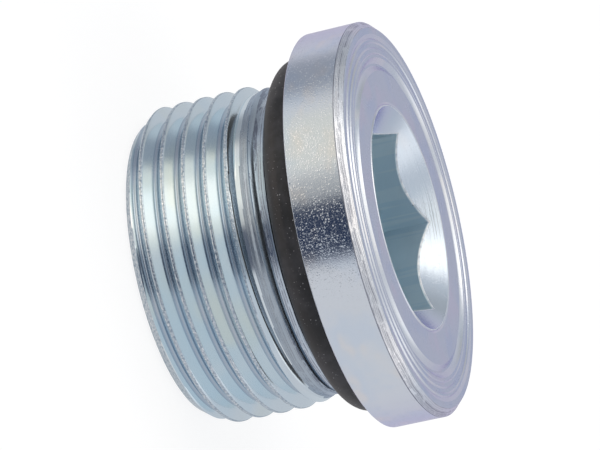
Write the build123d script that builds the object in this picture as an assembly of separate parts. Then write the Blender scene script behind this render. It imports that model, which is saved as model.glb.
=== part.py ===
"""Hexagon socket plug with an O-ring under its head.

A turned steel plug with a flanged head, an M22 x 1.5 stud and a hexagon socket.
Millimetres. +Z runs along the axis and leaves through the head, and the origin is
the centre of the flat end of the stud, so the plug stands on that end.
"""

import os
from math import cos, pi, radians, tan

from build123d import *

# Head
HEAD_DIAMETER = 27.0
HEAD_THICKNESS = 4.0
FACE_CHAMFER = 0.5            # 45 degree chamfer round the front of the head
REAR_EDGE_BREAK = 0.05        # broken edge at the back of the head

# Ring groove turned in the front of the head
RIM_WIDTH = 2.55              # from the edge of the head in to the groove
RING_GROOVE_WIDTH = 0.9
RING_GROOVE_DEPTH = 0.16

# Stud below the head
STUD_LENGTH = 12.4
THREAD_DIAMETER = 22.0        # M22 x 1.5, a plain cylinder over its crests
THREAD_PITCH = 1.5
LEAD_CHAMFER_LENGTH = 1.3     # chamfer at the free end, along the axis
LEAD_CHAMFER_DEPTH = 0.97     # and across it, just past the roots of the thread
RUN_OUT_LENGTH = 0.9          # from the last full crest down to the plain blank
BLANK_LENGTH = 0.8            # unthreaded blank between the run-out and the neck

# O-ring and the neck that it sits in, right under the head
RING_SECTION = 2.2
NECK_DEPTH = 0.61             # below the blank
NECK_SIDE_ROOM = 0.2          # the neck is this much wider than the ring
NECK_EDGE_BREAK = 0.12        # broken edge of the blank, so that it does not cut the ring
RING_CLEARANCE = 0.02         # between the ring and the steel it lies against

# Hexagon socket
KEY_SIZE = 12.0               # across the flats of the key
KEY_CLEARANCE = 0.1
SOCKET_DEPTH = 8.0            # of full hexagon, from the face
MOUTH_LIP = 0.65              # countersink beyond the corners of the hexagon
MOUTH_ANGLE = 90.0
PILOT_DIAMETER = 11.8         # hole drilled before the hexagon was broached
PILOT_EXTRA_DEPTH = 1.0       # room for chips below the hexagon
DRILL_POINT_ANGLE = 118.0

# Worked out from the sizes above
head_radius = HEAD_DIAMETER / 2
thread_radius = THREAD_DIAMETER / 2
flank_height = THREAD_PITCH * cos(pi / 6)      # of the sharp 60 degree thread triangle
blank_radius = thread_radius - flank_height * 3 / 8    # a rolled thread's blank is its pitch cylinder
neck_radius = blank_radius - NECK_DEPTH
ring_radius = RING_SECTION / 2

seat_height = STUD_LENGTH
face_height = STUD_LENGTH + HEAD_THICKNESS
neck_bottom = seat_height - RING_SECTION - NECK_SIDE_ROOM
blank_bottom = neck_bottom - BLANK_LENGTH
thread_top = blank_bottom - RUN_OUT_LENGTH

socket_width = KEY_SIZE + KEY_CLEARANCE
socket_corner_radius = socket_width / 2 / cos(pi / 6)
mouth_radius = socket_corner_radius + MOUTH_LIP


def body_section() -> Sketch:
    """Half section of the plug without its socket, in the XZ plane."""
    groove_outer = head_radius - RIM_WIDTH
    groove_inner = groove_outer - RING_GROOVE_WIDTH
    groove_middle = (groove_outer + groove_inner) / 2
    outline = [
        (0, 0),
        (thread_radius - LEAD_CHAMFER_DEPTH, 0),
        (thread_radius, LEAD_CHAMFER_LENGTH),
        (thread_radius, thread_top),
        (blank_radius, blank_bottom),
        (blank_radius, neck_bottom - NECK_EDGE_BREAK),
        (blank_radius - NECK_EDGE_BREAK, neck_bottom),
        (neck_radius, neck_bottom),
        (neck_radius, seat_height),
        (head_radius - REAR_EDGE_BREAK, seat_height),
        (head_radius, seat_height + REAR_EDGE_BREAK),
        (head_radius, face_height - FACE_CHAMFER),
        (head_radius - FACE_CHAMFER, face_height),
        (groove_outer, face_height),
        (groove_middle, face_height - RING_GROOVE_DEPTH),
        (groove_inner, face_height),
        (0, face_height),
    ]
    return make_face(Plane.XZ * Polyline(*outline, close=True))


def socket_tool() -> Part:
    """Everything cut away for the key: countersink, hexagon, pilot hole and drill point."""
    mouth_depth = mouth_radius / tan(radians(MOUTH_ANGLE / 2))
    mouth = Cone(0, mouth_radius, mouth_depth, align=(Align.CENTER, Align.CENTER, Align.MAX))

    flats = RegularPolygon(socket_width / 2, 6, major_radius=False)
    hexagon = extrude(flats, -SOCKET_DEPTH)

    pilot_depth = SOCKET_DEPTH + PILOT_EXTRA_DEPTH
    pilot_radius = PILOT_DIAMETER / 2
    pilot = Cylinder(pilot_radius, pilot_depth, align=(Align.CENTER, Align.CENTER, Align.MAX))

    point_depth = pilot_radius / tan(radians(DRILL_POINT_ANGLE / 2))
    point = Pos(0, 0, -pilot_depth) * Cone(
        0, pilot_radius, point_depth, align=(Align.CENTER, Align.CENTER, Align.MAX)
    )
    return Pos(0, 0, face_height) * (mouth + hexagon + pilot + point)


def plug_body() -> Part:
    """The turned plug with its socket."""
    return revolve(body_section(), Axis.Z) - socket_tool()


def o_ring() -> Part:
    """The O-ring as it lies in the neck, up against the back of the head."""
    centre_radius = neck_radius + RING_CLEARANCE + ring_radius
    centre_height = seat_height - RING_CLEARANCE - ring_radius
    return Pos(0, 0, centre_height) * Torus(centre_radius, ring_radius)


os.makedirs("parts", exist_ok=True)
export_step(plug_body(), "parts/plug_body.step")
export_step(o_ring(), "parts/o_ring.step")
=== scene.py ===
"""The dressed model of a hexagon socket plug and its O-ring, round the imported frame.

Sizes are in millimetres and become metres as the meshes are made. The frame is the
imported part's own: +Z runs along the axis and leaves through the head, and the origin
is the centre of the flat end of the stud.
"""

from __future__ import annotations

import logging
import math
from dataclasses import dataclass, field
from enum import Enum, IntEnum
from typing import Callable, Iterable, Sequence, Union

import bmesh
import bpy
from bmesh.types import BMEdge, BMesh, BMFace, BMVert
from mathutils import Matrix, Vector

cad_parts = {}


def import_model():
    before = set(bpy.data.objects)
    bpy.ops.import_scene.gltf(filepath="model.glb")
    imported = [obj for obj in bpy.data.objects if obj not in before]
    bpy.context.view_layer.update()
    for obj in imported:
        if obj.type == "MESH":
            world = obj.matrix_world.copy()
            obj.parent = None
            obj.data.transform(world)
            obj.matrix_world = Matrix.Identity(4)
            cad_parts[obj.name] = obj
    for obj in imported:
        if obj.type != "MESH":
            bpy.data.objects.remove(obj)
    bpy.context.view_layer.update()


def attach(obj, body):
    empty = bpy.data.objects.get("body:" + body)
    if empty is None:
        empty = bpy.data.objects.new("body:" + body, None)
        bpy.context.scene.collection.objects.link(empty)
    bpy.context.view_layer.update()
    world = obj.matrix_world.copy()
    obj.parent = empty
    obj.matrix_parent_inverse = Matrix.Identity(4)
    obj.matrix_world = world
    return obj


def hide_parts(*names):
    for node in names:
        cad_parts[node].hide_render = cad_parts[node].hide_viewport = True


MM = 0.001
MICRON = 1e-6
FULL_TURN = 2 * math.pi
WELD = 2e-7    # metres within which points are one

Colour = tuple[float, float, float]
Socket = bpy.types.NodeSocket
Tree = bpy.types.NodeTree
Value = Union[float, Sequence[float], Socket]

log = logging.getLogger("plug")


# ---------------------------------------------------------------- node trees


class Nodes:
    """A node tree with short calls that add nodes and return their sockets."""

    def __init__(self, tree: Tree) -> None:
        """Wraps a tree.

        Args:
            tree: the material, world or group tree that the nodes go into.
        """
        self.tree = tree

    def add(self, kind: str, inputs: dict[str, Value] | None = None, **settings: object) -> bpy.types.Node:
        """Adds one node.

        Args:
            kind: the node's type name without its ShaderNode prefix.
            inputs: what each named input is set or linked to.
            settings: attributes of the node itself.

        Returns:
            The new node.
        """
        node = self.tree.nodes.new("ShaderNode" + kind)
        for name, value in settings.items():
            setattr(node, name, value)
        for name, value in (inputs or {}).items():
            self.feed(node.inputs[name], value)
        return node

    def feed(self, socket: Socket, value: Value) -> None:
        """Links or sets one input.

        Args:
            socket: the input.
            value: an output socket to link, or a plain value.
        """
        if isinstance(value, Socket):
            self.tree.links.new(value, socket)
        elif socket.type == "RGBA" and len(value) == 3:
            socket.default_value = (*value, 1.0)
        else:
            socket.default_value = value

    def math(self, operation: str, *values: Value, kind: str = "Math") -> Socket:
        """Adds a Math or Vector Math node.

        Args:
            operation: its operation.
            values: its inputs, in order.
            kind: the node's type.

        Returns:
            The result.
        """
        node = self.add(kind, operation=operation)
        for socket, value in zip(node.inputs, values):
            self.feed(socket, value)
        return next(socket for socket in node.outputs if socket.enabled)

    def times(self, first: Value, second: Value) -> Socket:
        """Multiplies two values."""
        return self.math("MULTIPLY", first, second)

    def range(self, value: Value, low: float, high: float, to_low: float = 0.0, to_high: float = 1.0,
              smooth: bool = True) -> Socket:
        """Maps a value from one range to another, held at both ends.

        Args:
            value: what is mapped.
            low: the start of its range.
            high: the end of its range.
            to_low: the result at the start.
            to_high: the result at the end.
            smooth: eases in and out.

        Returns:
            The mapped value.
        """
        node = self.add("MapRange", {"Value": value, "From Min": low, "From Max": high,
                                     "To Min": to_low, "To Max": to_high})
        node.interpolation_type = "SMOOTHSTEP" if smooth else "LINEAR"
        return node.outputs["Result"]

    def mix(self, factor: Value, first: Value, second: Value) -> Socket:
        """Mixes two colours.

        Args:
            factor: 0 gives the first and 1 the second.
            first: a colour.
            second: a colour.

        Returns:
            The mixed colour.
        """
        node = self.add("Mix", data_type="RGBA")    # its colours are inputs 6 and 7 and output 2
        self.feed(node.inputs[0], factor)
        self.feed(node.inputs[6], first)
        self.feed(node.inputs[7], second)
        return node.outputs[2]

    def ramp(self, factor: Value, stops: Sequence[tuple[float, Colour]]) -> Socket:
        """Adds a colour ramp.

        Args:
            factor: where along the ramp to read.
            stops: positions from 0 to 1 with their colours, in order.

        Returns:
            The colour read.
        """
        node = self.add("ValToRGB", {"Fac": factor})
        band = node.color_ramp
        while len(band.elements) > 1:
            band.elements.remove(band.elements[-1])
        for index, (position, colour) in enumerate(stops):
            stop = band.elements[0] if index == 0 else band.elements.new(position)
            stop.position = position
            stop.color = (*colour, 1.0)
        return node.outputs["Color"]

    def noise(self, vector: Value, scale: Value, detail: float = 2.0, rough: float = 0.5) -> Socket:
        """Adds a noise texture and returns its value."""
        node = self.add("TexNoise", {"Vector": vector, "Scale": scale, "Detail": detail, "Roughness": rough})
        return node.outputs["Fac"]

    def stretch(self, vector: Value, scale: Sequence[float], turn: Sequence[float] = (0, 0, 0)) -> Socket:
        """Scales and turns a position with a Mapping node and returns it."""
        node = self.add("Mapping", {"Vector": vector, "Scale": scale, "Rotation": turn})
        return node.outputs["Vector"]

    def millimetres(self) -> Socket:
        """Returns the position on the part in millimetres."""
        here = self.add("TexCoord").outputs["Object"]
        return self.stretch(here, (1 / MM,) * 3)


class Effect(Enum):
    """The surface effects that several finishes share, each a node group."""

    PLATING = "plating_colour"
    GRAIN = "blasted_grain"
    TURNING = "turning_marks"
    BROACHING = "broach_marks"
    HANDLING = "handling_marks"
    DUST = "settled_dust"


class Effects:
    """Builds each effect's node group once and places it in materials."""

    RISE = 0.37    # share of the height in the turning marks' coordinate, so that they show on a cone too

    def __init__(self) -> None:
        """Starts with no groups built."""
        self.makers: dict[Effect, Callable[[], Tree]] = {
            Effect.PLATING: self.plating,
            Effect.GRAIN: self.grain,
            Effect.TURNING: self.turning,
            Effect.BROACHING: self.broaching,
            Effect.HANDLING: self.handling,
            Effect.DUST: self.dust,
        }
        self.built: dict[Effect, Tree] = {}

    def place(self, nodes: Nodes, effect: Effect, inputs: dict[str, Value]) -> bpy.types.Node:
        """Places an effect in a material.

        Args:
            nodes: the material's tree.
            effect: which effect.
            inputs: its named inputs.

        Returns:
            The group node, whose named outputs carry the effect.
        """
        if effect not in self.built:
            self.built[effect] = self.makers[effect]()
        node = nodes.add("Group", node_tree=self.built[effect])
        for name, value in inputs.items():
            nodes.feed(node.inputs[name], value)
        return node

    @staticmethod
    def open_group(effect: Effect, inputs: dict[str, str], outputs: dict[str, str]) -> tuple[Nodes, Callable, Callable]:
        """Starts an effect's node group, whose first input is the position in millimetres.

        Args:
            effect: which effect.
            inputs: the name of each further input with its kind: Float or Color.
            outputs: each output's name with its kind.

        Returns:
            The group's nodes, a call that reads an input, and a call that sets an output.
        """
        tree = bpy.data.node_groups.new(effect.value, "ShaderNodeTree")
        for direction, sockets in (("INPUT", {"Position": "Vector", **inputs}), ("OUTPUT", outputs)):
            for label, kind in sockets.items():
                tree.interface.new_socket(label, in_out=direction, socket_type="NodeSocket" + kind)
        entry = tree.nodes.new("NodeGroupInput")
        leave = tree.nodes.new("NodeGroupOutput")

        def read(label: str) -> Socket:
            """Returns a named input's value."""
            return entry.outputs[label]

        def write(label: str, value: Value) -> None:
            """Sets a named output."""
            tree.links.new(value, leave.inputs[label])

        return Nodes(tree), read, write

    def plating(self) -> Tree:
        """Builds the uneven colour of bright zinc: silver, with clouds of two film tints.

        Returns:
            The group.
        """
        nodes, read, write = self.open_group(
            Effect.PLATING, {"Silver": "Color", "Cool Film": "Color", "Warm Film": "Color", "Cloud": "Float"},
            {"Color": "Color"})
        here = read("Position")
        turned = nodes.stretch(here, (1, 1, 1.7), (0.4, 0.2, 0.9))
        cool = nodes.range(nodes.noise(here, read("Cloud"), 3.0, 0.55), 0.42, 0.66)
        warm = nodes.range(nodes.noise(turned, read("Cloud")), 0.52, 0.70)
        colour = nodes.mix(cool, read("Silver"), read("Cool Film"))
        write("Color", nodes.mix(warm, colour, read("Warm Film")))
        return nodes.tree

    def grain(self) -> Tree:
        """Builds a blasted grain: fine ripples, and sparse round grains that stand out of them.

        Returns:
            The group.
        """
        nodes, read, write = self.open_group(
            Effect.GRAIN, {"Fineness": "Float", "Sparseness": "Float"}, {"Ripple": "Float", "Grains": "Float"})
        here = read("Position")
        # Uneven grains stand out where the noise passes the sparseness
        coarse = nodes.noise(here, read("Fineness"), 2.0, 0.6)
        fine = nodes.noise(here, nodes.times(read("Fineness"), 1.6), 2.0, 0.6)
        patch = nodes.range(nodes.noise(here, 0.45, 2.0), 0.35, 0.65, -0.03, 0.03)
        proud = nodes.math("SUBTRACT", nodes.math("ADD", coarse, patch), read("Sparseness"))
        # Round ones sit in some of the cells, closer together in patches
        spacing = nodes.times(read("Fineness"), 0.75)
        cells = nodes.add("TexVoronoi", {"Vector": here, "Scale": spacing})
        tone = nodes.add("SeparateColor", {"Color": cells.outputs["Color"]})
        chance = nodes.math("ADD", tone.outputs["Red"], nodes.times(patch, 5.0))
        kept = nodes.range(chance, 0.38, 0.85, 0.0, 0.19)
        dome = nodes.range(cells.outputs["Distance"], 0.0, 0.42, 1.0, 0.0)
        worn = nodes.times(nodes.math("MAXIMUM", proud, 0.0), 0.5)
        write("Ripple", fine)
        write("Grains", nodes.math("ADD", worn, nodes.times(dome, kept)))
        return nodes.tree

    def turning(self) -> Tree:
        """Builds the rings that a lathe tool leaves round the axis, and thin broken scores.

        Returns:
            The group.
        """
        nodes, read, write = self.open_group(
            Effect.TURNING, {"Lines": "Float", "Wander": "Float"}, {"Height": "Float", "Score": "Float"})
        here = read("Position")
        parts = nodes.add("SeparateXYZ", {"Vector": here})
        flat = nodes.add("CombineXYZ", {"X": parts.outputs["X"], "Y": parts.outputs["Y"]})
        radius = nodes.math("LENGTH", flat.outputs[0], kind="VectorMath")
        drift = nodes.times(nodes.noise(here, 0.35, 1.0), read("Wander"))
        along = nodes.math("ADD", nodes.math("MULTIPLY_ADD", parts.outputs["Z"], self.RISE, radius), drift)
        place = nodes.times(along, read("Lines"))
        broad = nodes.add("TexNoise", {"W": place, "Scale": 1.0, "Detail": 3.0, "Roughness": 0.7},
                          noise_dimensions="1D").outputs["Fac"]
        # A score runs where the broad marks cross their middle height, and breaks off unevenly
        thin = nodes.range(nodes.math("ABSOLUTE", nodes.math("SUBTRACT", broad, 0.5)), 0.012, 0.045, 1.0, 0.0)
        broken = nodes.range(nodes.noise(nodes.stretch(here, (1, 1, 4)), 0.9, 3.0, 0.7), 0.36, 0.52)
        write("Height", broad)
        write("Score", nodes.times(thin, broken))
        return nodes.tree

    def broaching(self) -> Tree:
        """Builds the straight marks that a broach leaves along the axis.

        Returns:
            The group.
        """
        nodes, read, write = self.open_group(Effect.BROACHING, {"Lines": "Float"}, {"Height": "Float"})
        drawn = nodes.stretch(read("Position"), (1, 1, 0.03))    # long along the axis
        write("Height", nodes.noise(drawn, read("Lines"), 3.0, 0.6))
        return nodes.tree

    def handling(self) -> Tree:
        """Builds small dark specks and hairline scratches, sparse and uneven.

        Returns:
            The group.
        """
        nodes, read, write = self.open_group(
            Effect.HANDLING, {"Spacing": "Float", "Amount": "Float"}, {"Speck": "Float", "Scratch": "Float"})
        here = read("Position")
        # Specks with frayed outlines, in a share of the cells
        fray = nodes.add("TexNoise", {"Vector": here, "Scale": 9.0}).outputs["Color"]
        frayed = nodes.math("ADD", here, nodes.stretch(fray, (0.12, 0.12, 0.12)), kind="VectorMath")
        cells = nodes.add("TexVoronoi", {"Vector": frayed, "Scale": read("Spacing")})
        chosen = nodes.add("SeparateColor", {"Color": cells.outputs["Color"]})
        near = nodes.range(cells.outputs["Distance"], 0.02, 0.055, 1.0, 0.0)
        kept = nodes.math("LESS_THAN", chosen.outputs["Red"], read("Amount"))
        write("Speck", nodes.times(near, kept))
        # Hairlines along the bent borders of large cells, in a few patches
        bend = nodes.add("TexNoise", {"Vector": here, "Scale": 0.9}).outputs["Color"]
        bent = nodes.math("ADD", here, bend, kind="VectorMath")
        lines = nodes.add("TexVoronoi", {"Vector": bent, "Scale": 0.55}, feature="DISTANCE_TO_EDGE")
        hair = nodes.range(lines.outputs["Distance"], 0.0, 0.012, 1.0, 0.0)
        patch = nodes.range(nodes.noise(here, 0.8, 1.0), 0.56, 0.62)
        write("Scratch", nodes.times(hair, patch))
        return nodes.tree

    def dust(self) -> Tree:
        """Builds pale dust: tiny dots of two sizes that gather in patches.

        Returns:
            The group.
        """
        nodes, read, write = self.open_group(
            Effect.DUST, {"Spacing": "Float", "Amount": "Float"}, {"Mask": "Float"})
        here = read("Position")
        dots = nodes.add("TexVoronoi", {"Vector": here, "Scale": read("Spacing")})
        tone = nodes.add("SeparateColor", {"Color": dots.outputs["Color"]})
        size = nodes.times(tone.outputs["Green"], 0.30)
        near = nodes.math("LESS_THAN", dots.outputs["Distance"], size)
        kept = nodes.math("LESS_THAN", tone.outputs["Red"], read("Amount"))
        patch = nodes.range(nodes.noise(here, 0.6, 2.0), 0.44, 0.62, 0.10, 1.0)
        write("Mask", nodes.times(nodes.times(near, kept), patch))
        return nodes.tree


# ---------------------------------------------------------------- finishes


def new_material(name: str) -> tuple[bpy.types.Material, Nodes, bpy.types.Node]:
    """Starts a material.

    Args:
        name: its name.

    Returns:
        The material, its nodes and its Principled shader.
    """
    material = bpy.data.materials.new(name)
    material.use_nodes = True
    nodes = Nodes(material.node_tree)
    return material, nodes, material.node_tree.nodes["Principled BSDF"]


@dataclass(frozen=True)
class PlatedSteel:
    """Zinc plated steel, as turned, rolled, blasted or broached. Heights are in microns."""

    name: str
    silver: Colour = (0.80, 0.83, 0.86)
    cool_film: Colour = (0.68, 0.77, 0.84)
    warm_film: Colour = (0.82, 0.84, 0.80)
    edge_tint: Colour = (0.80, 0.76, 0.92)
    cloud: float = 0.16
    roughness: float = 0.30
    ripple_height: float = 0.0
    grain_height: float = 0.0
    grain_fineness: float = 6.0
    grain_sparseness: float = 0.60
    score_depth: float = 0.0
    turning_height: float = 0.0
    turning_lines: float = 9.0
    turning_wander: float = 0.25
    broach_height: float = 0.0
    broach_lines: float = 4.0
    # Share of near-white painted glint on thin lines along the broach marks
    broach_painted_glint: float = 0.0
    speck_spacing: float = 0.7
    speck_amount: float = 0.10
    speck_tint: Colour = (0.28, 0.30, 0.36)
    score_tint: Colour = (0.16, 0.17, 0.22)
    score_cover: float = 0.75
    scratch_depth: float = 0.35
    scratch_roughness: float = 0.08
    # Colour of that painted glint
    painted_glint_tint: Colour = (0.94, 0.98, 0.98)

    def make(self, effects: Effects) -> bpy.types.Material:
        """Builds the material.

        Args:
            effects: the shared node groups.

        Returns:
            The material.
        """
        material, nodes, shader = new_material(self.name)
        here = nodes.millimetres()
        plating = effects.place(nodes, Effect.PLATING, {
            "Position": here, "Silver": self.silver, "Cool Film": self.cool_film,
            "Warm Film": self.warm_film, "Cloud": self.cloud,
        })
        marks = effects.place(nodes, Effect.HANDLING, {
            "Position": here, "Spacing": self.speck_spacing, "Amount": self.speck_amount,
        })
        colour = nodes.mix(marks.outputs["Speck"], plating.outputs["Color"], self.speck_tint)
        scratch = marks.outputs["Scratch"]
        roughness = nodes.math("MULTIPLY_ADD", scratch, self.scratch_roughness, self.roughness)
        heights = [nodes.times(scratch, -self.scratch_depth)]
        if self.grain_height or self.ripple_height:
            grain = effects.place(nodes, Effect.GRAIN, {
                "Position": here, "Fineness": self.grain_fineness, "Sparseness": self.grain_sparseness,
            })
            heights += [nodes.times(grain.outputs["Ripple"], self.ripple_height),
                        nodes.times(grain.outputs["Grains"], self.grain_height)]
        if self.turning_height:
            rings = effects.place(nodes, Effect.TURNING, {
                "Position": here, "Lines": self.turning_lines, "Wander": self.turning_wander,
            })
            heights.append(nodes.times(rings.outputs["Height"], self.turning_height))
            if self.score_depth:
                heights.append(nodes.times(rings.outputs["Score"], -self.score_depth))
                scored = nodes.times(rings.outputs["Score"], self.score_cover)
                colour = nodes.mix(scored, colour, self.score_tint)
        if self.broach_height:
            drawn = effects.place(nodes, Effect.BROACHING, {"Position": here, "Lines": self.broach_lines})
            heights.append(nodes.times(drawn.outputs["Height"], self.broach_height))
            # Thin lines along the broach marks are lightened towards near white: a painted glint.
            bright = nodes.range(drawn.outputs["Height"], 0.50, 0.54, 0.0, self.broach_painted_glint)
            colour = nodes.mix(bright, colour, self.painted_glint_tint)
        total = heights[0]
        for height in heights[1:]:
            total = nodes.math("ADD", total, height)
        bump = nodes.add("Bump", {"Height": total, "Distance": MICRON})
        nodes.feed(shader.inputs["Base Color"], colour)
        nodes.feed(shader.inputs["Roughness"], roughness)
        nodes.feed(shader.inputs["Normal"], bump.outputs["Normal"])
        shader.inputs["Metallic"].default_value = 1.0
        shader.inputs["Specular Tint"].default_value = (*self.edge_tint, 1.0)
        return material


@dataclass(frozen=True)
class NitrileRubber:
    """Black nitrile rubber with a dull bloom and a little pale dust."""

    name: str = "nitrile_rubber"
    black: Colour = (0.022, 0.021, 0.023)
    bloom: Colour = (0.088, 0.085, 0.092)
    dust: Colour = (0.50, 0.49, 0.50)
    roughness: float = 0.46
    bloom_roughness: float = 0.12     # added where the bloom is full
    grain_height: float = 3.0         # in microns
    grain_fineness: float = 4.0
    dust_spacing: float = 7.0
    dust_amount: float = 0.42

    def make(self, effects: Effects) -> bpy.types.Material:
        """Builds the material.

        Args:
            effects: the shared node groups.

        Returns:
            The material.
        """
        material, nodes, shader = new_material(self.name)
        here = nodes.millimetres()
        dust = effects.place(nodes, Effect.DUST, {
            "Position": here, "Spacing": self.dust_spacing, "Amount": self.dust_amount,
        })
        grain = effects.place(nodes, Effect.GRAIN, {
            "Position": here, "Fineness": self.grain_fineness, "Sparseness": 1.0,
        })
        cloud = nodes.range(nodes.noise(here, 0.5, 3.0), 0.35, 0.7)
        colour = nodes.mix(cloud, self.black, self.bloom)
        colour = nodes.mix(dust.outputs["Mask"], colour, self.dust)
        rough = nodes.math("MULTIPLY_ADD", cloud, self.bloom_roughness, self.roughness)
        bump = nodes.add("Bump", {
            "Height": nodes.times(grain.outputs["Ripple"], self.grain_height), "Distance": MICRON,
        })
        nodes.feed(shader.inputs["Base Color"], colour)
        nodes.feed(shader.inputs["Roughness"], rough)
        nodes.feed(shader.inputs["Normal"], bump.outputs["Normal"])
        return material


class Zone(IntEnum):
    """The differently finished areas of the plug, in the order of its material slots."""

    FLANK = 0
    CREST = 1
    ROOT = 2
    BLANK = 3
    BACK = 4
    SIDE = 5
    CHAMFER = 6
    FACE = 7
    COUNTERSINK = 8
    HEXAGON = 9
    BORE = 10
    EDGE = 11
    RING_WALL = 12
    LIP = 13
    RUN_OUT = 14


# After its name, each finish gives its silver, its cool and warm films and its edge tint, as far as they differ
ZONE_FINISHES: dict[Zone, PlatedSteel] = {
    Zone.FLANK: PlatedSteel(
        "rolled_flank", (0.80, 0.88, 0.92), (0.75, 0.86, 0.92), (0.81, 0.88, 0.88), (0.90, 0.95, 0.97),
        roughness=0.16, ripple_height=1.4, grain_fineness=3.0, speck_amount=0.16),
    # The crests' dark silver and films are painted shade.
    Zone.CREST: PlatedSteel(
        "rolled_crest_painted_shade", (0.60, 0.67, 0.73), (0.38, 0.46, 0.54), (0.82, 0.86, 0.88), (0.84, 0.90, 0.93),
        cloud=5.5, roughness=0.22, ripple_height=1.5, grain_height=85.0, grain_fineness=9.0,
        grain_sparseness=0.54),
    # The roots' darker silver and films are painted shade in the thread's recesses.
    Zone.ROOT: PlatedSteel(
        "rolled_root_painted_shade", (0.54, 0.62, 0.70), (0.50, 0.59, 0.68), (0.57, 0.63, 0.69), (0.84, 0.90, 0.93),
        roughness=0.22, ripple_height=1.4),
    Zone.BLANK: PlatedSteel(
        "rolled_blank", (0.64, 0.72, 0.80), (0.56, 0.66, 0.75), (0.66, 0.73, 0.78), (0.80, 0.84, 0.90),
        roughness=0.22, ripple_height=1.5, grain_fineness=4.0, turning_height=4.0, turning_lines=13.0,
        turning_wander=0.1, score_depth=1.5),
    Zone.BACK: PlatedSteel(
        "turned_back", roughness=0.3, turning_height=5.0, turning_lines=6.0),
    Zone.SIDE: PlatedSteel(
        "blasted_side", (0.78, 0.83, 0.88), (0.72, 0.80, 0.89), (0.82, 0.83, 0.84), cloud=0.28, roughness=0.15,
        ripple_height=3.4, grain_height=56.0, grain_fineness=9.5, grain_sparseness=0.58, speck_amount=0.16),
    Zone.CHAMFER: PlatedSteel(
        "blasted_chamfer", (0.85, 0.87, 0.90), (0.80, 0.84, 0.89), (0.87, 0.87, 0.89), roughness=0.22,
        ripple_height=2.0, grain_height=30.0, grain_fineness=9.0, grain_sparseness=0.56, turning_height=3.0,
        turning_lines=20.0, turning_wander=0.14, score_depth=2.0),
    Zone.FACE: PlatedSteel(
        "turned_face", (0.68, 0.75, 0.80), (0.62, 0.71, 0.81), (0.72, 0.74, 0.80), cloud=0.3, roughness=0.26,
        ripple_height=7.0, grain_height=40.0, grain_fineness=7.0, grain_sparseness=0.54, turning_height=11.0,
        turning_lines=7.0),
    Zone.COUNTERSINK: PlatedSteel(
        "turned_countersink", (0.72, 0.79, 0.86), (0.67, 0.77, 0.85), (0.75, 0.79, 0.83), roughness=0.22,
        ripple_height=2.0, turning_height=15.0, turning_lines=6.0, grain_height=32.0, grain_fineness=8.0,
        speck_amount=0.0),
    # The hexagon's broach marks carry near-white lines in their colour, a painted glint.
    Zone.HEXAGON: PlatedSteel(
        "broached_hexagon", (0.72, 0.84, 0.91), (0.66, 0.79, 0.87), (0.76, 0.85, 0.89), (0.86, 0.92, 0.94),
        roughness=0.36, broach_height=9.0, broach_lines=1.1, broach_painted_glint=0.32),
    Zone.BORE: PlatedSteel(
        "drilled_bore", (0.72, 0.82, 0.85), (0.66, 0.78, 0.82), (0.72, 0.80, 0.82), roughness=0.42,
        turning_height=8.0, turning_lines=11.0),
    # The front edge's dark silver and films are painted shade.
    Zone.EDGE: PlatedSteel(
        "painted_shade_edge", (0.34, 0.36, 0.42), (0.26, 0.28, 0.34), (0.44, 0.46, 0.52), cloud=0.9, roughness=0.36,
        ripple_height=3.0, grain_height=40.0),
    Zone.RING_WALL: PlatedSteel(
        "turned_ring_wall", (0.80, 0.83, 0.87), (0.75, 0.80, 0.86), (0.84, 0.85, 0.87), cloud=0.4,
        roughness=0.24, ripple_height=4.0, grain_height=30.0, grain_fineness=8.0, speck_amount=0.0),
    # The lip's near-white silver and warm film are a painted highlight on the broken edges.
    Zone.LIP: PlatedSteel(
        "broached_lip_painted_highlight", (0.88, 0.92, 0.94), (0.62, 0.68, 0.74), (0.96, 0.96, 0.96), (0.95, 0.97, 0.98),
        cloud=2.5, roughness=0.55, grain_height=40.0, grain_fineness=8.0, speck_amount=0.0),
    # The run-out's dark silver and films are painted shade beside the neck and the O-ring.
    Zone.RUN_OUT: PlatedSteel(
        "rolled_run_out_painted_shade", (0.47, 0.54, 0.60), (0.38, 0.46, 0.54), (0.50, 0.56, 0.60), (0.78, 0.84, 0.92),
        roughness=0.24, ripple_height=1.6, grain_fineness=4.0, turning_height=4.0, turning_lines=13.0,
        turning_wander=0.1, score_depth=1.5),
}


# ---------------------------------------------------------------- meshes


def mesh_object(name: str, bm: BMesh, materials: Iterable[bpy.types.Material]) -> bpy.types.Object:
    """Turns a finished bmesh into an object at the origin.

    Args:
        name: the piece's name.
        bm: its mesh, which is freed.
        materials: its material slots, in order.

    Returns:
        The object.
    """
    mesh = bpy.data.meshes.new(name)
    bm.to_mesh(mesh)
    bm.free()
    for material in materials:
        mesh.materials.append(material)
    piece = bpy.data.objects.new(name, mesh)
    bpy.context.scene.collection.objects.link(piece)
    return piece


def interpolate(table: Sequence[tuple[float, float]], at: float) -> float:
    """Reads a table of straight runs.

    Args:
        table: places and values, in order of place.
        at: where to read.

    Returns:
        The value there, held at both ends.
    """
    if at <= table[0][0]:
        return table[0][1]
    for (low, first), (high, second) in zip(table, table[1:]):
        if at <= high:
            return first + (second - first) * (at - low) / (high - low)
    return table[-1][1]


def close_shell(bm: BMesh) -> None:
    """Points the faces outwards and shades them smooth.

    Args:
        bm: a closed shell whose doubles are merged.
    """
    bmesh.ops.recalc_face_normals(bm, faces=bm.faces)
    for face in bm.faces:
        face.smooth = True


def beside(vert: BMVert, radius: float, height: float) -> Vector:
    """Returns the point at a radius and a height in millimetres, on a vertex's own side of the axis."""
    outward = vert.co.xy.normalized() * radius * MM
    return Vector((outward.x, outward.y, height * MM))


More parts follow.
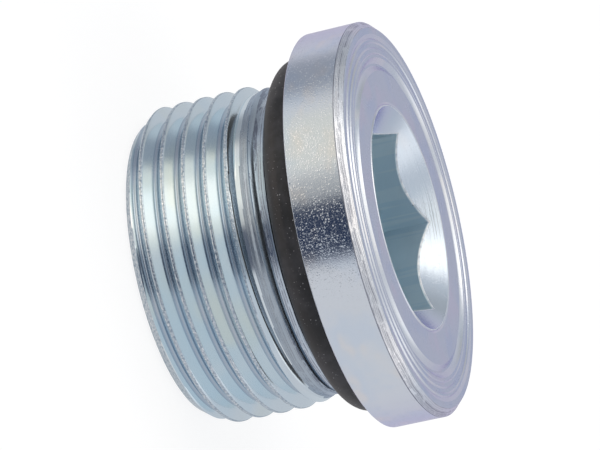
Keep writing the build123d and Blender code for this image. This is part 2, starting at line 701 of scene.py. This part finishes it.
class Lathe:
    """A shell that grows ring by ring round the axis from one open edge loop."""

    def __init__(self, bm: BMesh, loop: list[BMEdge]) -> None:
        """Starts from a loop.

        Args:
            bm: the mesh that the loop is in.
            loop: the closed loop of edges to grow from.
        """
        self.bm = bm
        self.loop = loop
        self.soften = bm.edges.layers.float["soften"]

    def grow(self, zone: Zone, place: Callable[[BMVert], Vector], soften: float = 0.0) -> None:
        """Adds one band of faces.

        Args:
            zone: the band's finish.
            place: gives the new place of each point of the copied loop.
            soften: width of the bevel to put later on the edge the band starts from.
        """
        for edge in self.loop:
            edge[self.soften] = soften * MM
        made = bmesh.ops.extrude_edge_only(self.bm, edges=self.loop)["geom"]
        fresh = {g for g in made if isinstance(g, BMVert)}
        for vert in fresh:
            vert.co = place(vert)
        for face in (g for g in made if isinstance(g, BMFace)):
            face.material_index = zone
        self.loop = [g for g in made if isinstance(g, BMEdge) and all(v in fresh for v in g.verts)]

    def ring(self, radius: float, height: float, zone: Zone, soften: float = 0.0) -> None:
        """Adds a band that ends in a circle.

        Args:
            radius: of the circle, in millimetres.
            height: of the circle, in millimetres.
            zone: the band's finish.
            soften: width of the bevel on the edge the band starts from.
        """
        self.grow(zone, lambda vert: beside(vert, radius, height), soften)

    def close(self, height: float, zone: Zone) -> None:
        """Ends the shell in a point on the axis at a height in millimetres."""
        self.grow(zone, lambda vert: Vector((0, 0, height * MM)))


@dataclass
class ThreadForm:
    """The rolled M22 x 1.5 thread, its lead chamfer and its run-out, in millimetres."""

    major_radius: float = 11.0
    root_radius: float = 10.08
    blank_radius: float = 10.513
    pitch: float = 1.5
    crest_height: float = 4.78        # of a crest at angle 0
    root_fillet: float = 0.2165
    fillet_steps: int = 3
    flank_angle: float = 60.0         # of a flank to the axis
    flank_steps: int = 6
    crest_flat: float = 0.19
    crest_round: float = 0.06
    # Rounding of the crest's edge: place along the axis and depth, as shares of crest_round
    crest_arc: tuple[tuple[float, float], ...] = ((-0.5, 0.87), (0.0, 0.25), (0.6, 0.0))
    crest_shade_band: float = 0.08          # depth of the strip along the crests, whose darker colour is painted shade
    root_shade_band: float = 0.12           # height of the darker strip along the roots, painted shade in the recess
    chamfer_radius: float = 10.03     # where the chamfer meets the end face
    chamfer_length: float = 1.3
    top: float = 9.42                 # where the rolled part ends in a shallow trough
    columns: int = 192
    turns: int = 8
    run_out_start: float = 8.2        # where its darker finish, painted shade beside the neck and the O-ring, starts
    # Greatest and least radius by height where the rolls run out
    crest_limit: tuple[tuple[float, float], ...] = (
        (7.40, 11.0), (7.60, 10.93), (7.85, 10.79), (8.10, 10.68), (8.45, 10.62), (8.80, 10.66), (9.00, 10.69),
        (9.30, 10.67), (9.42, 10.40))
    root_limit: tuple[tuple[float, float], ...] = (
        (7.35, 10.08), (7.85, 10.465), (8.54, 10.485), (8.60, 10.513), (9.05, 10.513), (9.42, 10.40))
    burr_start: float = 8.15          # from here up the crest thins into a burr
    burr_full: float = 8.60
    burr_below: float = 0.13
    burr_above: float = 0.32

    def half_section(self) -> list[tuple[float, float]]:
        """Works out half a pitch of the section.

        Returns:
            Height above the middle of a root and radius, up to the middle of the crest.
        """
        points = []
        for step in range(self.fillet_steps + 1):
            angle = math.radians(self.flank_angle * step / self.fillet_steps)
            points.append((self.root_fillet * math.sin(angle),
                           self.root_radius + self.root_fillet * (1 - math.cos(angle))))
        crest_edge = self.pitch / 2 - self.crest_flat / 2
        arc = [(crest_edge + self.crest_round * along, self.major_radius - self.crest_round * depth)
               for along, depth in self.crest_arc]
        low, high = points[-1], arc[0]
        for step in range(self.flank_steps):
            share = (step + 1) / self.flank_steps
            points.append((low[0] + (high[0] - low[0]) * share, low[1] + (high[1] - low[1]) * share))
        return points + arc[1:] + [(self.pitch / 2, self.major_radius)]

    def lead_radius(self, height: float) -> float:
        """Returns the radius of the lead chamfer's cone at a height."""
        return self.chamfer_radius + height * (self.major_radius - self.chamfer_radius) / self.chamfer_length

    def section(self) -> list[tuple[float, float]]:
        """Returns heights and radii over one pitch, from root to root."""
        half = self.half_section()
        return half + [(self.pitch - height, radius) for height, radius in reversed(half[:-1])]

    def radius_at(self, radius: float, height: float, offset: float) -> float:
        """Fits a point of the full thread to the run-out and the chamfer.

        Args:
            radius: of the full thread there.
            height: above the end face.
            offset: distance along the axis from the nearest crest.

        Returns:
            The finished radius.
        """
        high, low = interpolate(self.crest_limit, height), interpolate(self.root_limit, height)
        rolled = min(max(radius, low), high)
        reach = self.burr_below if offset < 0 else self.burr_above
        burr = low + (high - low) * max(0.0, 1 - abs(offset) / reach)
        thinned = interpolate(((self.burr_start, 0.0), (self.burr_full, 1.0)), height)
        return min(rolled + (burr - rolled) * thinned, self.lead_radius(height))

    def sweep(self, bm: BMesh) -> None:
        """Sweeps the section up the helix and trims it to flat circles at both ends.

        Args:
            bm: the mesh that the thread goes into.
        """
        start = self.crest_height - self.pitch / 2
        start -= self.pitch * (math.floor(start / self.pitch) + 2)
        line = [bm.verts.new((radius * MM, 0, (start + height) * MM)) for height, radius in self.section()]
        edges = [bm.edges.new(pair) for pair in zip(line, line[1:])]
        bmesh.ops.spin(bm, geom=line + edges, cent=(0, 0, 0), axis=(0, 0, 1), angle=FULL_TURN,
                       steps=self.columns, dvec=(0, 0, self.pitch * MM / self.columns), use_merge=False)
        one_turn = bm.verts[:] + bm.edges[:] + bm.faces[:]
        for turn in range(1, self.turns):
            copy = bmesh.ops.duplicate(bm, geom=one_turn)["geom"]
            bmesh.ops.translate(bm, vec=(0, 0, self.pitch * turn * MM),
                                verts=[g for g in copy if isinstance(g, BMVert)])
        for vert in bm.verts:
            turns = (vert.co.z / MM - self.crest_height) / self.pitch - math.atan2(vert.co.y, vert.co.x) / FULL_TURN
            height = min(max(vert.co.z / MM, 0.0), self.top)
            radius = self.radius_at(vert.co.xy.length / MM, height, (turns - round(turns)) * self.pitch)
            vert.co = beside(vert, radius, height)
        bmesh.ops.remove_doubles(bm, verts=bm.verts, dist=WELD)
        self.dress(bm)

    def dress(self, bm: BMesh) -> None:
        """Gives crests, roots, flanks and the run-out their finishes.

        Args:
            bm: the mesh, with nothing but the thread in it.
        """
        on_cone = 0.01    # millimetres within which a face lies on the lead chamfer
        for face in bm.faces:
            middle = face.calc_center_median()
            radius, height = middle.xy.length / MM, middle.z / MM
            if radius > min(self.major_radius - self.crest_shade_band, self.lead_radius(height) - on_cone):
                # The crests are darker in colour: painted shade.
                face.material_index = Zone.CREST
            elif height > self.run_out_start:
                # The run-out is darker in colour: painted shade.
                face.material_index = Zone.RUN_OUT
            elif radius < self.root_radius + self.root_shade_band:
                # The roots are darker in colour: painted shade in the recess.
                face.material_index = Zone.ROOT
            else:
                face.material_index = Zone.FLANK

    @staticmethod
    def open_loop(bm: BMesh, height: float) -> list[BMEdge]:
        """Returns the open edges at a height in millimetres."""
        return [e for e in bm.edges if e.is_boundary and all(abs(v.co.z - height * MM) < WELD for v in e.verts)]


@dataclass
class PlugBody:
    """The steel plug: stud, neck, flanged head, face and hexagon socket, in millimetres."""

    thread: ThreadForm = field(default_factory=ThreadForm)
    end_rings: tuple[float, ...] = (9.6, 6.0, 2.5)    # radii of the bands in the flat end
    blank_rise: float = 0.03          # along the step from the rolled part up to the blank
    blank_end: float = 9.88
    neck_edge: float = 0.12           # broken edge of the blank at the neck
    neck_bottom: float = 10.0
    neck_radius: float = 9.903
    seat_height: float = 12.4
    face_height: float = 16.4
    head_radius: float = 13.5
    rear_break: float = 0.05
    face_chamfer: float = 0.5
    shaded_edge_strip: float = 0.07          # dark strip along the front edge of the side, painted shade
    # Radius and depth of the rings turned in the face, from the chamfer in
    face_rings: tuple[tuple[float, float], ...] = (
        (12.56, 0.0), (12.27, 0.09), (12.16, 0.0), (12.02, 0.0), (11.93, 0.075), (11.66, 0.085), (11.55, 0.0),
        (11.28, 0.0), (11.22, 0.04), (11.16, 0.0), (10.95, 0.0), (10.85, 0.09), (10.70, 0.20), (10.58, 0.25),
        (10.42, 0.25), (10.30, 0.20), (10.15, 0.09), (10.05, 0.0))
    ring_slope: float = 0.02          # change of depth from which a band is a ring's wall
    mouth_radius: float = 7.636
    # Distance beyond the mouth and depth of the fine groove round it
    mouth_groove: tuple[tuple[float, float], ...] = ((0.26, 0.0), (0.13, 0.07), (0.045, 0.0))
    lip_width: float = 0.08           # broken edge between the countersink and the hexagon
    lip_drop: float = 0.13
    flat_radius: float = 6.05
    socket_depth: float = 8.0
    pilot_radius: float = 5.9
    pilot_extra: float = 1.0
    point_angle: float = 118.0
    point_rings: tuple[float, ...] = (0.5, 0.85)      # shares of the drill point's depth
    fine_round: float = 0.03          # rounding of the edges of the neck and the socket
    face_round: float = 0.05          # the same round the face and down the hexagon
    crease: float = 38.0              # degrees from which an edge shades as sharp
    ring_crease: float = 21.0         # the same among the fine rings of the face

    def face_section(self) -> list[tuple[float, float]]:
        """Returns radius and depth below the face, from the chamfer in to the countersink."""
        return [*self.face_rings, *((self.mouth_radius + out, depth) for out, depth in self.mouth_groove)]

    def hexagon_radius(self, angle: float) -> float:
        """Returns the distance from the axis to the hexagon at an angle, with corners on the X axis."""
        sixth = FULL_TURN / 6
        return self.flat_radius / math.cos(angle % sixth - sixth / 2)

    def build(self) -> BMesh:
        """Builds the closed shell of the plug.

        Returns:
            The mesh, in metres.
        """
        bm = bmesh.new()
        bm.edges.layers.float.new("soften")
        self.thread.sweep(bm)
        self.close_end(bm)
        lathe = Lathe(bm, self.thread.open_loop(bm, self.thread.top))
        self.turn_head(lathe)
        self.cut_socket(lathe)
        bmesh.ops.remove_doubles(bm, verts=bm.verts, dist=WELD)
        for width in sorted({e[lathe.soften] for e in bm.edges} - {0.0}):
            bmesh.ops.bevel(bm, geom=[e for e in bm.edges if e[lathe.soften] == width], offset=width,
                            offset_type="OFFSET", segments=2, profile=0.5, affect="EDGES", material=-1,
                            clamp_overlap=True)
        close_shell(bm)
        for edge in bm.edges:
            ringed = {face.material_index for face in edge.link_faces} <= {Zone.FACE, Zone.RING_WALL}
            edge.smooth = edge.calc_face_angle(0.0) < math.radians(self.ring_crease if ringed else self.crease)
        return bm

    def close_end(self, bm: BMesh) -> None:
        """Closes the flat end of the stud.

        Args:
            bm: the mesh, open at the end of the thread.
        """
        lathe = Lathe(bm, self.thread.open_loop(bm, 0.0))
        for radius in self.end_rings:
            lathe.ring(radius, 0.0, Zone.BACK)
        lathe.close(0.0, Zone.BACK)

    def turn_head(self, lathe: Lathe) -> None:
        """Turns the neck and the head, up to the rim of the countersink.

        Args:
            lathe: the shell, open at the top of the thread.
        """
        blank, top = self.thread.blank_radius, self.face_height
        side_top = top - self.face_chamfer
        for radius, height, zone, soften in (
            (blank, self.thread.top + self.blank_rise, Zone.BLANK, 0.0),
            (blank, self.blank_end, Zone.BLANK, 0.0),
            (blank - self.neck_edge, self.neck_bottom, Zone.BLANK, self.fine_round),
            (self.neck_radius, self.neck_bottom, Zone.BACK, self.fine_round),
            (self.neck_radius, self.seat_height, Zone.BACK, 0.0),
            (self.head_radius - self.rear_break, self.seat_height, Zone.BACK, 0.0),
            (self.head_radius, self.seat_height + self.rear_break, Zone.CHAMFER, 0.0),
            (self.head_radius, side_top - self.shaded_edge_strip, Zone.SIDE, 0.0),
            # A dark strip along the front edge: painted shade.
            (self.head_radius, side_top, Zone.EDGE, 0.0),
            (self.head_radius - self.face_chamfer, top, Zone.CHAMFER, 0.0),
        ):
            lathe.ring(radius, height, zone, soften)
        soften, before = self.face_round, 0.0
        for radius, depth in self.face_section():
            zone = Zone.RING_WALL if abs(depth - before) > self.ring_slope else Zone.FACE
            lathe.ring(radius, top - depth, zone, soften)
            soften, before = 0.0, depth
        # The strip round the mouth takes the lip's finish, whose near-white colour is a painted highlight.
        lathe.ring(self.mouth_radius, top, Zone.LIP)

    def cut_socket(self, lathe: Lathe) -> None:
        """Sinks the countersink, the hexagon, the pilot hole and its drill point.

        Args:
            lathe: the shell, open at the rim of the countersink.
        """
        top = self.face_height

        def on_cone(vert: BMVert) -> Vector:
            """Brings a point of the rim down the 90 degree cone to the hexagon."""
            radius = self.hexagon_radius(math.atan2(vert.co.y, vert.co.x)) + self.lip_width
            return beside(vert, radius, top - (self.mouth_radius - radius))

        def below_lip(vert: BMVert) -> Vector:
            """Brings a point of the countersink's foot over the broken edge to the hexagon's wall."""
            inward = vert.co.xy.normalized() * self.lip_width * MM
            return Vector((vert.co.x - inward.x, vert.co.y - inward.y, vert.co.z - self.lip_drop * MM))

        lathe.grow(Zone.COUNTERSINK, on_cone)
        # The broken edge above the hexagon takes the same painted highlight in its colour.
        lathe.grow(Zone.LIP, below_lip, self.fine_round)
        floor = top - self.socket_depth
        lathe.grow(Zone.HEXAGON, lambda vert: Vector((vert.co.x, vert.co.y, floor * MM)), self.face_round)
        lathe.ring(self.pilot_radius, floor, Zone.BORE)
        lathe.ring(self.pilot_radius, floor - self.pilot_extra, Zone.BORE)
        point = self.pilot_radius / math.tan(math.radians(self.point_angle / 2))
        for share in self.point_rings:
            lathe.ring(self.pilot_radius * (1 - share), floor - self.pilot_extra - point * share, Zone.BORE)
        lathe.close(floor - self.pilot_extra - point, Zone.BORE)

    def dress(self, effects: Effects) -> bpy.types.Object:
        """Builds the object with its finishes.

        Args:
            effects: the shared node groups.

        Returns:
            The piece, riding on the frame.
        """
        finishes = [ZONE_FINISHES[zone].make(effects) for zone in Zone]
        piece = mesh_object("steel_plug", self.build(), finishes)
        weighted = piece.modifiers.new("even_normals", "WEIGHTED_NORMAL")
        weighted.keep_sharp = True
        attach(piece, "root")
        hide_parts("plug_body")
        return piece


@dataclass
class SealRing:
    """The O-ring with the fine parting line of its mould, in millimetres."""

    section_radius: float = 1.1
    centre_radius: float = 11.0229
    centre_height: float = 11.28
    line_width: float = 0.14
    line_height: float = 0.022
    section_steps: int = 40
    columns: int = 144

    def build(self) -> BMesh:
        """Builds the ring by spinning its section.

        Returns:
            The mesh, in metres.
        """
        bm = bmesh.new()
        made = bmesh.ops.create_circle(bm, segments=self.section_steps, radius=self.section_radius * MM)
        bmesh.ops.transform(bm, matrix=Matrix.Rotation(FULL_TURN / 4, 4, "X"), verts=made["verts"])
        for vert in bm.verts:
            if abs(vert.co.z) < self.line_width / 2 * MM:
                vert.co.x += math.copysign(self.line_height * MM, vert.co.x)
        bmesh.ops.translate(bm, vec=(self.centre_radius * MM, 0, self.centre_height * MM), verts=bm.verts)
        bmesh.ops.spin(bm, geom=list(bm.verts) + list(bm.edges), cent=(0, 0, 0), axis=(0, 0, 1),
                       angle=FULL_TURN, steps=self.columns, use_merge=True)
        bmesh.ops.remove_doubles(bm, verts=bm.verts, dist=WELD)
        close_shell(bm)
        return bm

    def dress(self, effects: Effects) -> bpy.types.Object:
        """Builds the object with its finish.

        Args:
            effects: the shared node groups.

        Returns:
            The piece, riding on the frame.
        """
        piece = mesh_object("rubber_ring", self.build(), [NitrileRubber().make(effects)])
        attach(piece, "root")
        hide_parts("o_ring")
        return piece


# ---------------------------------------------------------------- studio


@dataclass
class Camera:
    """The camera, in millimetres and degrees."""

    place: tuple[float, float, float] = (140.0969, -200.5599, 81.2656)
    turn: tuple[float, float, float] = (36.6708, -69.2490, 86.6719)
    lens: float = 227.262
    sensor: float = 36.0
    clip: tuple[float, float] = (0.01, 20.0)          # in metres

    def make(self) -> None:
        """Adds the camera and makes it the scene's own."""
        data = bpy.data.cameras.new("camera")
        data.lens = self.lens
        data.sensor_width = self.sensor
        data.clip_start, data.clip_end = self.clip
        camera = bpy.data.objects.new("camera", data)
        camera.location = [value * MM for value in self.place]
        camera.rotation_euler = [math.radians(value) for value in self.turn]
        bpy.context.scene.collection.objects.link(camera)
        bpy.context.scene.camera = camera


class CardShape(Enum):
    """How a card's outline is measured from its middle."""

    PANEL = "across and up"
    DISC = "straight away"


@dataclass(frozen=True)
class Card:
    """A soft-edged card, flag or lamp panel far from the part. Angles are in degrees.

    Its bearing is counted round the axis from the camera's side, to the right of the part
    where it is negative.
    """

    name: str
    bearing: float
    elevation: float
    half_width: float
    half_height: float
    soft: float
    tone: Colour
    shape: CardShape = CardShape.PANEL

    def mask(self, nodes: Nodes, way: Value, front: float) -> Socket:
        """Adds the nodes that say how much of a direction this card covers.

        Args:
            nodes: the world's tree.
            way: the direction looked in.
            front: the camera's direction round the axis, in degrees from X.

        Returns:
            1 on the card, 0 off it.
        """
        turned = nodes.add("VectorRotate", {"Vector": way, "Angle": -math.radians(front + self.bearing)},
                           rotation_type="Z_AXIS").outputs[0]
        if self.shape is CardShape.DISC:
            rise = math.radians(self.elevation)
            aim = nodes.math("DOT_PRODUCT", turned, (math.cos(rise), 0.0, math.sin(rise)), kind="VectorMath")
            off = nodes.math("ARCCOSINE", nodes.math("MINIMUM", aim, 1.0))
            return self.edge(nodes, off, self.half_width)
        parts = nodes.add("SeparateXYZ", {"Vector": turned})
        across = nodes.math("ABSOLUTE", nodes.math("ARCTAN2", parts.outputs["Y"], parts.outputs["X"]))
        up = nodes.math("SUBTRACT", nodes.math("ARCSINE", parts.outputs["Z"]), math.radians(self.elevation))
        wide = self.edge(nodes, across, self.half_width)
        high = self.edge(nodes, nodes.math("ABSOLUTE", up), self.half_height)
        return nodes.times(wide, high)

    def edge(self, nodes: Nodes, off: Value, reach: float) -> Socket:
        """Fades from 1 to 0 where an angle in radians passes a reach in degrees."""
        inner, outer = math.radians(reach - self.soft / 2), math.radians(reach + self.soft / 2)
        return nodes.range(off, inner, outer, 1.0, 0.0)


@dataclass
class Studio:
    """A pale floor in a soft white room, and the cards that the bright metal mirrors."""

    front: float = -54.8              # the camera's bearing round the axis from X, in degrees
    floor_radius: float = 3.0         # in metres
    floor_sides: int = 96
    floor_gap: float = 0.03           # below the stud's end, in millimetres
    floor_white: float = 0.30
    floor_glow: float = 0.80
    # Light of the room by elevation in degrees
    room: tuple[tuple[float, Colour], ...] = (
        (-50, (0.72, 0.70, 0.70)), (-15, (0.67, 0.67, 0.70)), (14, (0.58, 0.59, 0.63)),
        (40, (0.56, 0.59, 0.64)), (65, (0.58, 0.61, 0.66)), (90, (0.74, 0.74, 0.76)),
    )
    cards: tuple[Card, ...] = (
        Card("left_gap", -105, -8, 17, 34, 16, (0.33, 0.35, 0.40)),
        Card("rear_gap", -132, 30, 15, 12, 14, (0.42, 0.44, 0.46)),
        Card("side_panel", -56, -2, 19, 34, 12, (0.70, 0.70, 0.65)),
        Card("middle_panel", -53, 16, 20, 12, 14, (0.96, 0.94, 0.88)),
        Card("right_fill", 108, 46, 24, 14, 20, (1.02, 1.02, 1.04)),
        Card("shade", -27, -12, 9, 12, 12, (0.40, 0.41, 0.42)),
        Card("dark_gap", -4, -13, 17, 11, 6, (0.022, 0.035, 0.075)),
        Card("camera_gap", -4, 21, 20, 24, 9, (0.30, 0.34, 0.39)),
        Card("low_reflector", -57, -40, 35, 18, 12, (1.04, 0.96, 0.87)),
        Card("low_lamp", -53, -40, 18, 17, 12, (1.55, 1.37, 1.23)),
        Card("edge_panel", -51, 34, 22, 13, 12, (1.55, 1.48, 1.38)),
        Card("key_panel", -70, 66, 22, 22, 10, (1.60, 1.55, 1.50), CardShape.DISC),
        Card("top_panel", -10, 80, 14, 14, 10, (1.15, 1.11, 1.07), CardShape.DISC),
        Card("upper_gap", -12, 56, 32, 8, 8, (0.13, 0.14, 0.17)),
    )

    def make(self) -> None:
        """Builds the floor and the world, and sets the view transform."""
        self.floor()
        self.world()
        bpy.context.scene.view_settings.view_transform = "Standard"

    def floor(self) -> None:
        """Adds the floor: white to the camera, with the part's shadow, and clear from below. Reflections pass it."""
        material = bpy.data.materials.new("floor_white")
        material.use_nodes = True
        nodes = Nodes(material.node_tree)
        nodes.tree.nodes.clear()
        path = nodes.add("LightPath")
        plain = nodes.add("BsdfDiffuse", {"Color": (self.floor_white,) * 3})
        glow = nodes.add("Emission", {
            "Color": (1, 1, 1), "Strength": nodes.times(path.outputs["Is Camera Ray"], self.floor_glow),
        })
        both = nodes.add("AddShader")
        for socket, shader in zip(both.inputs, (plain, glow)):
            nodes.feed(socket, shader.outputs[0])
        under = nodes.add("NewGeometry").outputs["Backfacing"]
        pane = nodes.add("MixShader", {"Fac": nodes.times(under, path.outputs["Is Camera Ray"])})
        nodes.feed(pane.inputs[1], both.outputs[0])
        nodes.feed(pane.inputs[2], nodes.add("BsdfTransparent").outputs[0])
        out = nodes.add("OutputMaterial")
        nodes.feed(out.inputs["Surface"], pane.outputs[0])
        bm = bmesh.new()
        bmesh.ops.create_circle(bm, cap_ends=True, segments=self.floor_sides, radius=self.floor_radius)
        bmesh.ops.translate(bm, vec=(0, 0, -self.floor_gap * MM), verts=bm.verts)
        floor = mesh_object("floor", bm, [material])
        floor.visible_glossy = False

    def world(self) -> None:
        """Fills the room with soft light and its cards, and shows white behind the part."""
        world = bpy.data.worlds.new("room")
        bpy.context.scene.world = world
        world.use_nodes = True
        nodes = Nodes(world.node_tree)
        nodes.tree.nodes.clear()
        way = nodes.add("TexCoord").outputs["Generated"]
        up = nodes.math("ARCSINE", nodes.add("SeparateXYZ", {"Vector": way}).outputs["Z"])
        share = nodes.range(up, -math.pi / 2, math.pi / 2, smooth=False)
        light = nodes.ramp(share, [((rise + 90) / 180, tone) for rise, tone in self.room])
        for card in self.cards:
            light = nodes.mix(card.mask(nodes, way, self.front), light, card.tone)
        path = nodes.add("LightPath")
        seen = nodes.mix(path.outputs["Is Camera Ray"], light, (1, 1, 1))
        back = nodes.add("Background", {"Color": seen, "Strength": 1.0})
        out = nodes.add("OutputWorld")
        nodes.feed(out.inputs["Surface"], back.outputs[0])


# ---------------------------------------------------------------- main


def main() -> None:
    """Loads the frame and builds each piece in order."""
    logging.basicConfig(level=logging.INFO, format="%(name)s: %(message)s")
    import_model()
    effects = Effects()
    for piece in (PlugBody().dress(effects), SealRing().dress(effects)):
        log.info("%s: %d faces", piece.name, len(piece.data.polygons))
    Studio().make()
    Camera().make()


if __name__ == "__main__":
    main()
